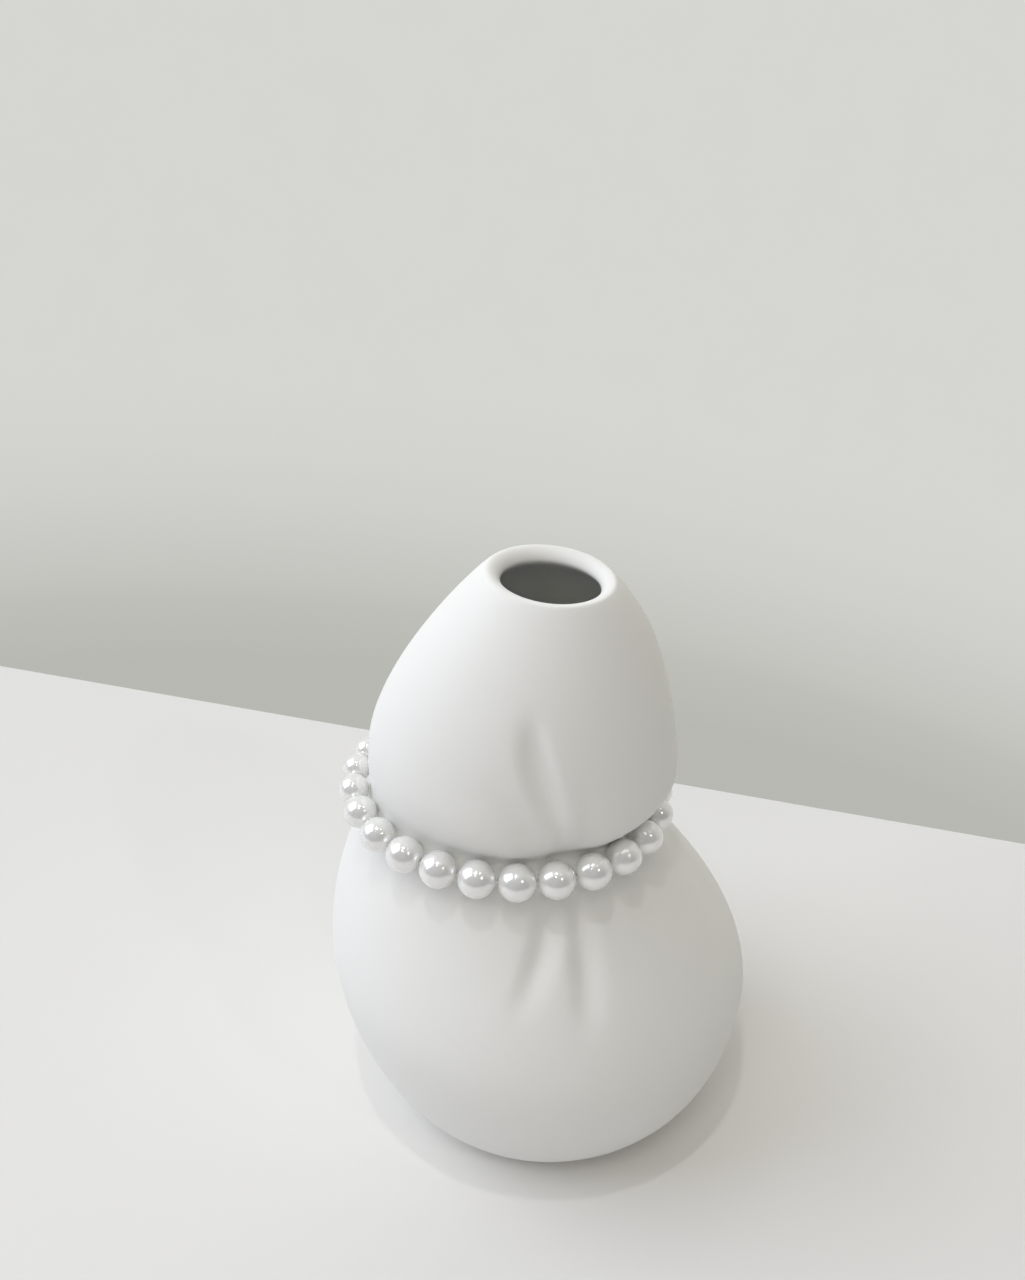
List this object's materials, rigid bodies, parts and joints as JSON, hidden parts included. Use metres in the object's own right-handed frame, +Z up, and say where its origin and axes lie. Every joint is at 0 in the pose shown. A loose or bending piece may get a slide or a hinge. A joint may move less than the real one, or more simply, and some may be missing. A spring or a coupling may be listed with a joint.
{
  "type": "ceramic bud vase",
  "caption": "Soft gourd-shaped matte ceramic vase squeezed at the waist by a clasped string of graduated round pearls, with pressed creases and a small rolled mouth.",
  "frame": {"origin": "centre of the bounding box on the plane that the vase stands on", "axes": "+Z up; the creased front faces -Y; +X to the right seen from the front"},
  "size_m": [0.1423, 0.1381, 0.2119],
  "materials": {
    "ceramic": "unglazed satin off-white slip-cast body, burnished smooth",
    "pearl": "pearl-lacquered imitation pearl, white with a faint pink and green sheen",
    "thread": "white twisted beading thread",
    "silver": "bright silver-tone plated fittings",
    "steel": "plain steel pin and leaf spring"
  },
  "bodies": {
    "vase": {"vase_body": "ceramic", "thread": "thread", "bead_tip_left": "silver", "bead_tip_right": "silver", "clasp_body": "silver", "clasp_pin": "steel", "clasp_spring": "steel", "jump_ring": "silver"},
    "pearl_01": {"pearl_01": "pearl"},
    "pearl_02": {"pearl_02": "pearl"},
    "pearl_03": {"pearl_03": "pearl"},
    "pearl_04": {"pearl_04": "pearl"},
    "pearl_05": {"pearl_05": "pearl"},
    "pearl_06": {"pearl_06": "pearl"},
    "pearl_07": {"pearl_07": "pearl"},
    "pearl_08": {"pearl_08": "pearl"},
    "pearl_09": {"pearl_09": "pearl"},
    "pearl_10": {"pearl_10": "pearl"},
    "pearl_11": {"pearl_11": "pearl"},
    "pearl_12": {"pearl_12": "pearl"},
    "pearl_13": {"pearl_13": "pearl"},
    "pearl_14": {"pearl_14": "pearl"},
    "pearl_15": {"pearl_15": "pearl"},
    "pearl_16": {"pearl_16": "pearl"},
    "pearl_17": {"pearl_17": "pearl"},
    "pearl_18": {"pearl_18": "pearl"},
    "pearl_19": {"pearl_19": "pearl"},
    "pearl_20": {"pearl_20": "pearl"},
    "pearl_21": {"pearl_21": "pearl"},
    "pearl_22": {"pearl_22": "pearl"},
    "pearl_23": {"pearl_23": "pearl"},
    "pearl_24": {"pearl_24": "pearl"},
    "pearl_25": {"pearl_25": "pearl"},
    "pearl_26": {"pearl_26": "pearl"},
    "pearl_27": {"pearl_27": "pearl"},
    "clasp_lever": {"clasp_lever": "silver"}
  },
  "joints": [
    {"name": "pearl_01_spin", "type": "hinge", "parent": "vase", "child": "pearl_01", "pos_m": [-0.02758, 0.03595, 0.13325], "axis": [-0.9599, -0.2757, 0.0516], "continuous": true},
    {"name": "pearl_02_spin", "type": "hinge", "parent": "vase", "child": "pearl_02", "pos_m": [-0.0347, 0.03337, 0.13359], "axis": [-0.9143, -0.4034, 0.0378], "continuous": true},
    {"name": "pearl_03_spin", "type": "hinge", "parent": "vase", "child": "pearl_03", "pos_m": [-0.04139, 0.02982, 0.13381], "axis": [-0.8459, -0.5329, 0.0221], "continuous": true},
    {"name": "pearl_04_spin", "type": "hinge", "parent": "vase", "child": "pearl_04", "pos_m": [-0.04745, 0.02527, 0.13391], "axis": [-0.7492, -0.6623, 0.0042], "continuous": true},
    {"name": "pearl_05_spin", "type": "hinge", "parent": "vase", "child": "pearl_05", "pos_m": [-0.05265, 0.01977, 0.13387], "axis": [-0.618, -0.786, -0.0159], "continuous": true},
    {"name": "pearl_06_spin", "type": "hinge", "parent": "vase", "child": "pearl_06", "pos_m": [-0.05684, 0.01298, 0.13365], "axis": [-0.4363, -0.899, -0.039], "continuous": true},
    {"name": "pearl_07_spin", "type": "hinge", "parent": "vase", "child": "pearl_07", "pos_m": [-0.05956, 0.00459, 0.13318], "axis": [-0.1868, -0.9803, -0.0647], "continuous": true},
    {"name": "pearl_08_spin", "type": "hinge", "parent": "vase", "child": "pearl_08", "pos_m": [-0.05986, -0.00501, 0.13242], "axis": [0.1148, -0.9894, -0.0887], "continuous": true},
    {"name": "pearl_09_spin", "type": "hinge", "parent": "vase", "child": "pearl_09", "pos_m": [-0.05703, -0.01491, 0.13141], "axis": [0.4146, -0.9039, -0.1048], "continuous": true},
    {"name": "pearl_10_spin", "type": "hinge", "parent": "vase", "child": "pearl_10", "pos_m": [-0.05106, -0.02401, 0.13021], "axis": [0.6584, -0.7445, -0.1107], "continuous": true},
    {"name": "pearl_11_spin", "type": "hinge", "parent": "vase", "child": "pearl_11", "pos_m": [-0.04246, -0.03147, 0.12895], "axis": [0.828, -0.5502, -0.1081], "continuous": true},
    {"name": "pearl_12_spin", "type": "hinge", "parent": "vase", "child": "pearl_12", "pos_m": [-0.03197, -0.0368, 0.12771], "axis": [0.9325, -0.3471, -0.0998], "continuous": true},
    {"name": "pearl_13_spin", "type": "hinge", "parent": "vase", "child": "pearl_13", "pos_m": [-0.02031, -0.03978, 0.12658], "axis": [0.9856, -0.1449, -0.0875], "continuous": true},
    {"name": "pearl_14_spin", "type": "hinge", "parent": "vase", "child": "pearl_14", "pos_m": [-0.00816, -0.04032, 0.1256], "axis": [0.9958, 0.056, -0.0721], "continuous": true},
    {"name": "pearl_15_spin", "type": "hinge", "parent": "vase", "child": "pearl_15", "pos_m": [0.00387, -0.0384, 0.12483], "axis": [0.9646, 0.2584, -0.0534], "continuous": true},
    {"name": "pearl_16_spin", "type": "hinge", "parent": "vase", "child": "pearl_16", "pos_m": [0.01511, -0.03402, 0.12432], "axis": [0.8855, 0.4636, -0.0307], "continuous": true},
    {"name": "pearl_17_spin", "type": "hinge", "parent": "vase", "child": "pearl_17", "pos_m": [0.02483, -0.0273, 0.12411], "axis": [0.7451, 0.667, -0.0035], "continuous": true},
    {"name": "pearl_18_spin", "type": "hinge", "parent": "vase", "child": "pearl_18", "pos_m": [0.03221, -0.01857, 0.12425], "axis": [0.5277, 0.849, 0.0279], "continuous": true},
    {"name": "pearl_19_spin", "type": "hinge", "parent": "vase", "child": "pearl_19", "pos_m": [0.03647, -0.00851, 0.12473], "axis": [0.2358, 0.9699, 0.0601], "continuous": true},
    {"name": "pearl_20_spin", "type": "hinge", "parent": "vase", "child": "pearl_20", "pos_m": [0.03731, 0.00175, 0.12549], "axis": [-0.0862, 0.9925, 0.0867], "continuous": true},
    {"name": "pearl_21_spin", "type": "hinge", "parent": "vase", "child": "pearl_21", "pos_m": [0.03513, 0.01111, 0.12642], "axis": [-0.3715, 0.9227, 0.103], "continuous": true},
    {"name": "pearl_22_spin", "type": "hinge", "parent": "vase", "child": "pearl_22", "pos_m": [0.03092, 0.01882, 0.12736], "axis": [-0.5845, 0.8039, 0.1098], "continuous": true},
    {"name": "pearl_23_spin", "type": "hinge", "parent": "vase", "child": "pearl_23", "pos_m": [0.02567, 0.02479, 0.12825], "axis": [-0.7299, 0.6745, 0.1106], "continuous": true},
    {"name": "pearl_24_spin", "type": "hinge", "parent": "vase", "child": "pearl_24", "pos_m": [0.01974, 0.02942, 0.12908], "axis": [-0.8312, 0.5454, 0.108], "continuous": true},
    {"name": "pearl_25_spin", "type": "hinge", "parent": "vase", "child": "pearl_25", "pos_m": [0.01315, 0.03308, 0.12988], "axis": [-0.9036, 0.4157, 0.1031], "continuous": true},
    {"name": "pearl_26_spin", "type": "hinge", "parent": "vase", "child": "pearl_26", "pos_m": [0.00609, 0.03575, 0.13064], "axis": [-0.9528, 0.2878, 0.0965], "continuous": true},
    {"name": "pearl_27_spin", "type": "hinge", "parent": "vase", "child": "pearl_27", "pos_m": [-0.00126, 0.03746, 0.13134], "axis": [-0.9828, 0.162, 0.0887], "continuous": true},
    {"name": "clasp_lever_hinge", "type": "hinge", "parent": "vase", "child": "clasp_lever", "pos_m": [-0.01443, 0.03734, 0.13472], "axis": [-0.0502, 0.9952, 0.0842], "range_deg": [0, 15], "stiffness_Nm_per_rad": 0.003, "springref_deg": -11.46}
  ]
}
